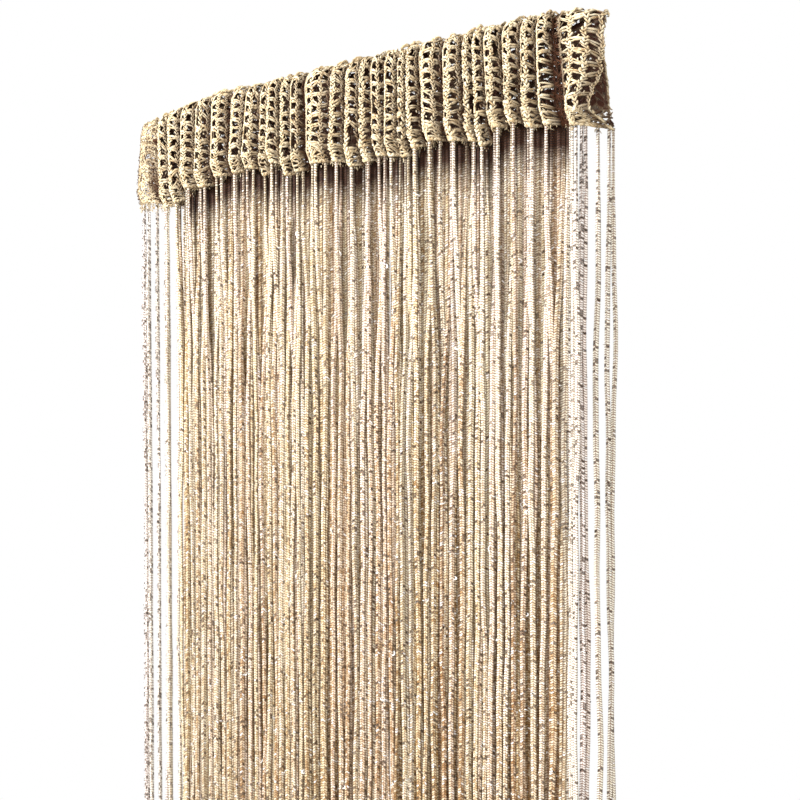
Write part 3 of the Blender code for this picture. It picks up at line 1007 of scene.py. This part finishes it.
def add_node(tree, kind, inputs=(), output=0, stops=(), **settings):
    """Add one node with its settings, and give back one of its outputs.

    inputs holds sockets to link and values to set, and stops the places and hex codes of a ramp.
    """
    node = tree.nodes.new("ShaderNode" + kind)
    for name, value in settings.items():
        setattr(node, name, value)
    for place, value in inputs.items() if isinstance(inputs, dict) else enumerate(inputs):
        if isinstance(value, bpy.types.NodeSocket):
            tree.links.new(value, node.inputs[place])
        else:
            node.inputs[place].default_value = value
    if stops:
        band = node.color_ramp.elements
        while len(band) < len(stops):
            band.new(0.5)
        for element, (place, code) in zip(band, stops):
            element.position = place
            element.color = colour(code)
    return node.outputs[output]


# Settings of nodes that are used again and again
TIMES = {"operation": "MULTIPLY"}
PLUS = {"operation": "ADD"}
MINUS = {"operation": "SUBTRACT"}
SIZE_OF = {"operation": "ABSOLUTE"}
FRACTION = {"operation": "FRACT"}
LARGER = {"operation": "MAXIMUM"}
ABOVE = {"operation": "GREATER_THAN"}
TIMES_PLUS = {"operation": "MULTIPLY_ADD"}
CLAMPED = {"operation": "MULTIPLY_ADD", "use_clamp": True}
COVERED = {"data_type": "RGBA", "output": 2}
TINTED = {"data_type": "RGBA", "blend_type": "MULTIPLY", "output": 2}


def new_material(name):
    """A node material, its shader and the function that adds a node to it."""
    material = bpy.data.materials.new(name)
    material.use_nodes = True
    tree = material.node_tree
    return material, tree.nodes["Principled BSDF"], partial(add_node, tree)


def finish_material(material, shader, linked, **numbers):
    """Link what varies over the surface, and set what doesn't, on the shader's own sockets."""
    for name, socket in linked.items():
        material.node_tree.links.new(socket, shader.inputs[name])
    for name, value in numbers.items():
        shader.inputs[name.replace("_", " ")].default_value = value
    return material


def net_yarn_material(look):
    """Raschel-knitted polyester yarn.

    Spun from fine bright filaments and bulked with steam, so it is soft and matt with pale
    strands, and painted shade darkens it where the folds close and inside the pocket.
    """
    material, shader, add = new_material("bulked_polyester_net_yarn")
    own = add("Attribute", attribute_name="own_place", output="Vector")
    tint, shade, hollow_shade = (
        add("Attribute", attribute_name=name, output="Fac") for name in ("tint", "shade", "rim"))
    # Strands run along each yarn: 2 mm long and 0.4 mm apart
    stretched = add("Mapping", {"Vector": own, "Scale": (0.5, 2.6, 2.6)})
    strands = add(
        "TexNoise", {"Vector": stretched, "Scale": 1.0, "Detail": 3.0, "Roughness": 0.65},
        output="Fac")
    mottle = add("TexNoise", {"Vector": own, "Scale": 0.10, "Detail": 1.0}, output="Fac")
    level = add("Math", (strands, 2.2, -0.6), **TIMES_PLUS)
    for value, share in ((tint, 0.3), (mottle, 0.5)):
        level = add("Math", (level, share / 2), **MINUS)
        level = add("Math", (value, share, level), **TIMES_PLUS)
    # Partly the strands' own streaks, partly painted light on the raised strands and painted shade
    # in the hollows between them
    yarn = add("ValToRGB", (level,), stops=(
        (0.10, look.net_dark), (0.42, look.net_middle), (0.80, look.net_light)))
    # Painted shade where the folds close
    yarn = add("Mix", {0: shade, 6: yarn, 7: colour(look.net_valley_shade)}, **TINTED)
    # Painted shade inside the pocket
    yarn = add("Mix", {0: hollow_shade, 6: yarn, 7: colour(look.net_hollow_shade)}, **COVERED)
    bump = add("Bump", {"Height": strands, "Strength": 0.8, "Distance": 0.5 * MM})
    return finish_material(
        material, shader, {"Base Color": yarn, "Normal": bump}, Roughness=0.7,
        Specular_IOR_Level=0.2, Sheen_Weight=0.04, Sheen_Roughness=0.4)


def string_material(look):
    """Flat warp-knitted polyester tape.

    Two rows of chain stitches lean towards each other, which leaves a dotted line down the middle
    and a small dark gap between stitches. One thread in it is silver metallic film, which shows
    as specks painted white as glints and dark as unlit reflections.
    """
    material, shader, add = new_material("warp_knitted_polyester_tape")
    own = add("Attribute", attribute_name="own_place", output="Vector")
    tint, pale, shade, rim = (
        add("Attribute", attribute_name=name, output="Fac")
        for name in ("tint", "pale", "shade", "rim"))
    sideways = add("SeparateXYZ", (own,))
    aside = add("Math", (sideways,), **SIZE_OF)
    stitch = add("Math", (aside, 0.6, sideways.node.outputs["Z"]), **TIMES_PLUS)
    # Tension varies along a string, so no two strings' stitches line up
    slack = add("TexNoise", {"Vector": own, "Scale": 0.22, "Detail": 1.0}, output="Fac")
    stitch = add("Math", (slack, 2.4, stitch), **TIMES_PLUS)
    stitch = add("Math", (stitch, look.stitch_length / MM), operation="DIVIDE")
    place = add("Math", (add("Math", (stitch,), **FRACTION), 0.5), **MINUS)
    place = add("Math", (place,), **SIZE_OF)
    gap = add("Math", (place, 6.5, -1.65), **CLAMPED)
    groove = add("Math", (aside, -2.2, 1.3), **CLAMPED)
    groove = add("Math", (groove, add("Math", (place, 2.0, 0.3), **CLAMPED)), **TIMES)
    dark = add("Math", (gap, groove), **LARGER)
    # Each stitch has its own brightness, and in some the metallic thread comes to the surface
    half = add("Math", (sideways, 0.0), **ABOVE)
    whole = add("Math", (stitch,), operation="FLOOR")
    key = add("CombineXYZ", (half, add("Math", (tint, 97.0), **TIMES), whole))
    luck = add("TexWhiteNoise", {"Vector": key}, output="Value")
    # Light and dark stretches are some centimetres long
    stretched = add("Mapping", {"Vector": own, "Scale": (0.15, 0.15, 0.022)})
    drift = add("TexNoise", {"Vector": stretched, "Scale": 1.0, "Detail": 3.0}, output="Fac")
    fine = add("TexNoise", {"Vector": own, "Scale": 1.3, "Detail": 2.0}, output="Fac")
    # The pale value is each strand's random tone, with painted light and painted shade added
    level = pale
    for value, share, lower in ((drift, 0.5, 0.25), (fine, 0.5, 0.25), (luck, 0.56, 0.22)):
        level = add("Math", (level, lower), **MINUS)
        level = add("Math", (value, share, level), **TIMES_PLUS)
    tape = add("ValToRGB", (level,), stops=(
        (0.02, look.string_dark), (0.32, look.string_middle), (0.60, look.string_light),
        (0.85, look.string_bright), (1.00, "#ffffff")))
    # Some strings lean to straw and some to rose, least the palest
    hue = add("Math", (add("Math", (tint, 17.3), **TIMES),), **FRACTION)
    cast = add("ValToRGB", (hue,), stops=(
        (0.0, "#fffae6"), (0.5, "#fffef6"), (0.8, "#fff5ec"), (1.0, "#fbf5f2")))
    share = add("Math", (pale, -1.2, 2.3), **CLAMPED)
    tape = add("Mix", {0: share, 6: tape, 7: cast}, **TINTED)
    # The palest strings, washed out by painted light at the ends, show less of their gaps
    share = add("Math", (pale, -0.75, 1.9), **CLAMPED)
    share = add("Math", (share, add("Math", (dark, 0.9), **TIMES)), **TIMES)
    tape = add("Mix", {0: share, 6: tape, 7: colour(look.string_gap)}, **TINTED)
    # Painted shade on the tape's edges, less in some stitches and on the palest strings
    edge = add("Math", (rim, 3.4, -2.5), **CLAMPED)
    for value, slope, most in ((luck, -0.7, 0.86), (pale, -1.0, 2.1)):
        share = add("Math", (value, slope, most), **CLAMPED)
        edge = add("Math", (edge, share), **TIMES)
    tape = add("Mix", {0: edge, 6: tape, 7: colour(look.string_edge_shade)}, **TINTED)
    # Painted shade of strands behind others and under the heading
    tape = add("Mix", {0: shade, 6: tape, 7: colour(look.string_shade)}, **TINTED)
    # Film shows inside a stitch: a painted glint in some, painted dark in others, none in painted
    # shade
    clear = add("Math", (1.0, add("Math", (shade, edge), **LARGER)), **MINUS)
    inside = add("Math", (place, 0.3), operation="LESS_THAN")
    inside = add("Math", (inside, clear), **TIMES)
    shown = add("Math", (luck, 1.0 - look.film_share), **ABOVE)
    shown = add("Math", (shown, inside), **TIMES)
    tape = add("Mix", {0: shown, 6: tape, 7: colour(look.film)}, **COVERED)
    other = add("Math", (add("Math", (luck, 23.0), **TIMES),), **FRACTION)
    # The palest strings, at the left end, get the most film specks painted dark
    rare = add("Math", (pale, -0.65, 0.65 * 1.15), **TIMES_PLUS)
    rare = add("Math", (rare, 0.0), operation="MINIMUM")
    rare = add("Math", (rare, 1.0 - 1.5 * look.film_share), **PLUS)
    speck = add("Math", (add("Math", (other, rare), **ABOVE), inside), **TIMES)
    tape = add("Mix", {0: speck, 6: tape, 7: colour(look.film_dark_reflection)}, **COVERED)
    height = add("Math", (dark, -1.0, add("Math", (fine, 0.5), **TIMES)), **TIMES_PLUS)
    bump = add("Bump", {"Height": height, "Strength": 0.9, "Distance": 0.6 * MM})
    return finish_material(
        material, shader, {"Base Color": tape, "Normal": bump}, Roughness=0.6,
        Specular_IOR_Level=0.2, Sheen_Weight=0.04)


def film_material(look):
    """Slit metallic film: aluminium vapour on polyester, cut to a thread.

    It is crushed between the stitches; its ends are painted white as glints or dark as unlit
    reflections.
    """
    material, shader, add = new_material("slit_silver_film")
    own = add("Attribute", attribute_name="own_place", output="Vector")
    tint = add("Attribute", attribute_name="tint", output="Fac")
    crinkle = add("TexNoise", {"Vector": own, "Scale": 1.5, "Detail": 2.0}, output="Fac")
    level = add("Math", (crinkle, 0.3, add("Math", (tint, 0.15), **MINUS)), **TIMES_PLUS)
    # Painted reflection: each end's tint sets it from dark to white
    silver = add("ValToRGB", (level,), stops=(
        (0.20, look.film_dark_reflection), (0.32, look.film_grey), (0.44, look.film)))
    bump = add("Bump", {"Height": crinkle, "Strength": 0.5, "Distance": 0.3 * MM})
    return finish_material(
        material, shader, {"Base Color": silver, "Normal": bump}, Metallic=0.35, Roughness=0.25)


def hex_colour(name, what, default):
    """A colour that the user may change."""
    return bpy.props.StringProperty(
        name=name, description="sRGB hex colour of " + what, default=default)


size_choice = partial(bpy.props.FloatProperty, unit="LENGTH", precision=4)
share_choice = partial(bpy.props.FloatProperty, subtype="FACTOR")
power_choice = partial(bpy.props.FloatProperty, min=0, unit="POWER")


class CurtainLook(bpy.types.PropertyGroup):
    """Sizes and colours of the knit, and the studio's light."""

    # Yarn colours, partly painted light on raised strands and painted shade in the hollows between
    # them
    net_light: hex_colour("Net, light", "the net's raised strands", "#fff5da")
    net_middle: hex_colour("Net, middle", "the net's yarn", "#f6e1b6")
    net_dark: hex_colour("Net, dark", "the hollows between the net's strands", "#a87e4a")
    # Tints of painted shade: where the folds close, and inside the pocket
    net_valley_shade: hex_colour("Net, valleys", "the tint where the folds close", "#462914")
    net_hollow_shade: hex_colour("Net, inside", "the yarn inside the pocket", "#381a0b")
    string_bright: hex_colour("String, bright", "the palest strings", "#fffbf0")
    string_light: hex_colour("String, light", "pale strings", "#fbf5e7")
    string_middle: hex_colour("String, middle", "most strings", "#e9d8ba")
    string_dark: hex_colour("String, dark", "the darkest strings", "#b08b5a")
    string_gap: hex_colour("String, gaps", "the tint between stitches", "#80583f")
    # Tint of the painted shade on a string's edges
    string_edge_shade: hex_colour("String, edges", "the tint of a string's edges", "#70492f")
    # Tint of the painted shade behind other strands and under the heading
    string_shade: hex_colour("String, shade", "the tint of hidden stretches", "#432815")
    # Painted glints and reflections of the film: white, grey in half light, and dark
    film: hex_colour("Film", "the metallic film", "#ffffff")
    film_grey: hex_colour("Film, grey", "the film in half light", "#a8a49c")
    film_dark_reflection: hex_colour("Film, dark", "the film's edges", "#3a3128")
    string_width: size_choice(
        name="String width", description="Width of a string's flat face",
        default=4.1 * MM, min=2 * MM, max=8 * MM)
    string_thickness: size_choice(
        name="String thickness", description="Thickness of a string",
        default=2.6 * MM, min=1 * MM, max=4 * MM)
    stitch_length: size_choice(
        name="Stitch length", description="Length of one stitch of a string",
        default=2.2 * MM, min=1 * MM, max=6 * MM)
    film_share: share_choice(
        name="Film share", description="Share of a string's stitches where the film shows",
        default=0.05, min=0, max=1)
    bar_share: share_choice(
        name="Bar share", description="Height of a bar of the front net as a share of its row",
        default=0.43, min=0.1, max=0.95)
    back_bar_share: share_choice(
        name="Back bar share", description="The same on the back, which is gathered closer",
        default=0.92, min=0.1, max=0.95)
    surround: share_choice(
        name="Surround", description="Light that the surround gives, against a full white",
        default=0.5, min=0, max=2)
    key_power: power_choice(
        name="Key light", description="Power of the light from the front left", default=103)
    fill_power: power_choice(
        name="Fill light", description="Power of the soft light from the right", default=50)
    back_power: power_choice(
        name="Back light", description="Power of the light from behind the curtain", default=30)
    loops_per_string: bpy.props.IntProperty(
        name="Film loops", description="Open loops of film that stand out of each string",
        default=6, min=0, max=30)
    specks_per_string: bpy.props.IntProperty(
        name="Film ends", description="Short ends of film that show on each string",
        default=165, min=0, max=250)


class CURTAIN_OT_net_heading(bpy.types.Operator):
    """Knit the net heading: its front wall, back wall, foot and top edge"""

    bl_idname = "curtain.net_heading"
    bl_label = "Net Heading"

    def execute(self, context):
        look = context.scene.curtain_look
        material = net_yarn_material(look)
        pieces = []
        for name, back in WALLS.items():
            yarns = Yarns()
            knit_chains(yarns, back, 11 + back)
            knit_bars(yarns, look, back, 21 + back)
            pieces.append(yarns.piece(name, material))
        edges = Yarns()
        for back in WALLS.values():
            knit_border(edges, back, 31 + back)
        knit_foot(edges, 41)
        knit_fuzz(edges, 45)
        knit_tufts(edges, 47)
        knit_top_loops(edges, 43)
        pieces.append(edges.piece("net_edges", material))
        for piece in pieces:
            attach(piece, "root")
            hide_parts("heading")
        front, back, edge = pieces
        return {"FINISHED"}


class CURTAIN_OT_string_fringe(bpy.types.Operator):
    """Knit the strings that hang from the heading, with their silver metallic film"""

    bl_idname = "curtain.string_fringe"
    bl_label = "String Fringe"

    def execute(self, context):
        look = context.scene.curtain_look
        strings = Strings(look)
        tape = string_material(look)
        film = Yarns()
        knit_film(film, strings, look, 7)
        knit_film_loops(film, strings, look, 9)
        chains = np.arange(STRING_COUNT)
        pieces = [
            knit_strings(strings, strands, sides, steps).piece(name, tape)
            for name, strands, sides, steps in (
                ("strands_front_row", chains[0::2], FIRST_SIDES, FIRST_STEPS),
                ("strands_middle_row", chains[1::2], FIRST_SIDES, FIRST_STEPS),
                ("strands_back_row", chains + STRING_COUNT, SECOND_SIDES, SECOND_STEPS),
            )
        ]
        pieces.append(film.piece("metallic_film", film_material(look)))
        for piece in pieces:
            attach(piece, "root")
            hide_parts("string_fringe")
        return {"FINISHED"}


# The camera stands at the photograph's viewing angle, fitted to the heading and strings
CAMERA_PLACE = (0.727, -0.6803, -0.244)
CAMERA_TURN = (math.radians(88.473), 0, math.radians(43.41))
CAMERA_LENS = 50.66
CAMERA_SHIFT = -0.03
FLOOR_HALF = 2.2
FLOOR_GAP = 40 * MM  # between the string ends and the floor
LIGHT_AIM = (0.0, 0.0, -0.3)


class CURTAIN_OT_studio(bpy.types.Operator):
    """Place the camera, a pale floor and soft lights"""

    bl_idname = "curtain.studio"
    bl_label = "Studio"

    def execute(self, context):
        scene = context.scene
        look = scene.curtain_look
        scene.view_settings.view_transform = "Standard"
        camera_data = bpy.data.cameras.new("camera")
        camera = bpy.data.objects.new("camera", camera_data)
        camera.location = CAMERA_PLACE
        camera.rotation_euler = CAMERA_TURN
        camera_data.sensor_width = 36
        camera_data.lens = CAMERA_LENS
        camera_data.shift_y = CAMERA_SHIFT
        scene.collection.objects.link(camera)
        scene.camera = camera

        shape = bmesh.new()
        bmesh.ops.create_grid(shape, x_segments=1, y_segments=1, size=FLOOR_HALF)
        bmesh.ops.translate(shape, verts=shape.verts, vec=(0, 0, -CURTAIN_DROP - FLOOR_GAP))
        mesh = bpy.data.meshes.new("floor")
        shape.to_mesh(mesh)
        shape.free()
        floor = bpy.data.objects.new("floor", mesh)
        scene.collection.objects.link(floor)
        # Matt wall paint rolled on a flat board, so it is pale and even, without gloss
        material, shader, _ = new_material("pale_painted_floor")
        finish_material(material, shader, {}, Base_Color=colour("#dfdcd6"), Roughness=0.9)
        mesh.materials.append(material)

        world = bpy.data.worlds.new("studio")
        world.use_nodes = True
        add = partial(add_node, world.node_tree)
        background = world.node_tree.nodes["Background"]
        # A white surround that gives only half its light, so that the key light models the knit,
        # and a little warm, as light that is passed on from string to string
        seen = add("LightPath", output="Is Camera Ray")
        strength = add("Math", (seen, 1.0 - look.surround, look.surround), **TIMES_PLUS)
        tone = add("Mix", {0: seen, 6: colour("#fff6ea"), 7: colour("#ffffff")}, **COVERED)
        world.node_tree.links.new(strength, background.inputs["Strength"])
        world.node_tree.links.new(tone, background.inputs["Color"])
        scene.world = world

        for name, place, power, size in (
            ("key", (-0.75, -1.85, 0.75), look.key_power, 0.6),
            ("fill", (1.7, -2.2, 0.1), look.fill_power, 1.2),
            ("back", (-0.9, 1.7, 0.3), look.back_power, 0.8),
        ):
            data = bpy.data.lights.new(name, "AREA")
            data.energy = power
            data.size = size
            light = bpy.data.objects.new(name, data)
            light.location = place
            aim = np.array(LIGHT_AIM) - np.array(place)
            flat = math.hypot(aim[0], aim[1])
            light.rotation_euler = (math.atan2(flat, -aim[2]), 0, math.atan2(-aim[0], aim[1]))
            scene.collection.objects.link(light)
        return {"FINISHED"}


class CURTAIN_PT_panel(bpy.types.Panel):
    """Lists the curtain's sizes, colours and steps."""

    bl_idname = "CURTAIN_PT_panel"
    bl_label = "String Curtain"
    bl_space_type = "VIEW_3D"
    bl_region_type = "UI"
    bl_category = "String Curtain"

    def draw(self, context):
        for name in CurtainLook.__annotations__:
            self.layout.prop(context.scene.curtain_look, name)
        for operator in OPERATORS:
            self.layout.operator(operator.bl_idname)


OPERATORS = (CURTAIN_OT_net_heading, CURTAIN_OT_string_fringe, CURTAIN_OT_studio)
CLASSES = (CurtainLook, *OPERATORS, CURTAIN_PT_panel)


def register():
    for item in CLASSES:
        bpy.utils.register_class(item)
    bpy.types.Scene.curtain_look = bpy.props.PointerProperty(type=CurtainLook)


def unregister():
    del bpy.types.Scene.curtain_look
    for item in reversed(CLASSES):
        bpy.utils.unregister_class(item)


def main():
    register()
    bpy.ops.curtain.studio()
    bpy.ops.curtain.net_heading()
    bpy.ops.curtain.string_fringe()


if __name__ == "__main__":
    main()
